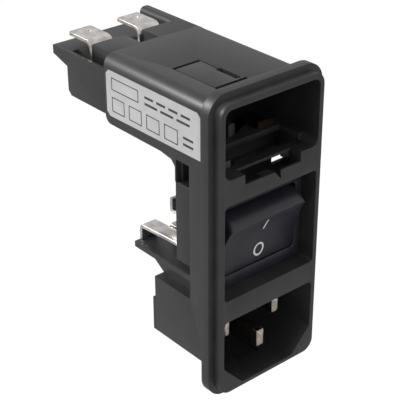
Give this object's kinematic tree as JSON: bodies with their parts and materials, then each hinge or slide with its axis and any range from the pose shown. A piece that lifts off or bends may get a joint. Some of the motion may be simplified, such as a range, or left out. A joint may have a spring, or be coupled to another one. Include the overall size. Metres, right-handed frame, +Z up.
{
  "type": "panel power inlet with rocker switch and fuse drawer bay",
  "caption": "Snap-in panel power inlet with a rocker switch and an empty fuse drawer bay, with flat quick-connect tabs at the rear.",
  "frame": {"origin": "middle of the flange's rear face, which seats on the panel", "axes": "+Y points back through the panel, +Z up towards the fuse drawer bay, +X to the right seen from the front"},
  "size_m": [0.0296, 0.054, 0.0682],
  "materials": {
    "black_plastic": "satin black thermoset moulding",
    "rocker_plastic": "smooth black moulding",
    "plunger_plastic": "natural moulded plastic",
    "label_foil": "satin silver foil",
    "tinned_brass": "tinned, dull silver",
    "pin_metal": "nickel plated",
    "contact_metal": "plain rolled brass",
    "spring_steel": "drawn wire"
  },
  "bodies": {
    "housing": {"front_housing": "black_plastic", "terminal_block": "black_plastic", "switch_frame": "black_plastic", "switch_base": "black_plastic", "inlet_insert": "black_plastic", "rating_label": "label_foil", "left_middle_terminal": "tinned_brass", "left_contact_terminal": "tinned_brass", "left_bridge_strip": "tinned_brass", "left_tab": "tinned_brass", "left_fuse_clip": "tinned_brass", "right_middle_terminal": "tinned_brass", "right_contact_terminal": "tinned_brass", "right_bridge_strip": "tinned_brass", "right_tab": "tinned_brass", "right_fuse_clip": "tinned_brass", "line_pin": "pin_metal", "neutral_pin": "pin_metal", "earth_pin": "pin_metal"},
    "rocker": {"rocker": "rocker_plastic", "left_plunger": "plunger_plastic", "right_plunger": "plunger_plastic", "left_plunger_spring": "spring_steel", "right_plunger_spring": "spring_steel"},
    "left_lever": {"left_contact_lever": "contact_metal"},
    "right_lever": {"right_contact_lever": "contact_metal"}
  },
  "joints": [
    {"name": "rocker_tilt", "type": "hinge", "parent": "housing", "child": "rocker", "pos_m": [0, 0.00144, 0.0004], "axis": [-1, 0, 0], "range_deg": [0, 34.6]},
    {"name": "left_lever_tilt", "type": "hinge", "parent": "housing", "child": "left_lever", "pos_m": [-0.0066, 0.0068, 0.0004], "axis": [1, 0, 0], "range_deg": [0, 9]},
    {"name": "right_lever_tilt", "type": "hinge", "parent": "housing", "child": "right_lever", "pos_m": [0.0066, 0.0068, 0.0004], "axis": [1, 0, 0], "range_deg": [0, 9]}
  ],
  "couplings": [
    {"joint": "left_lever_tilt", "follows": "rocker_tilt", "ratio": 0.26},
    {"joint": "right_lever_tilt", "follows": "rocker_tilt", "ratio": 0.26}
  ]
}
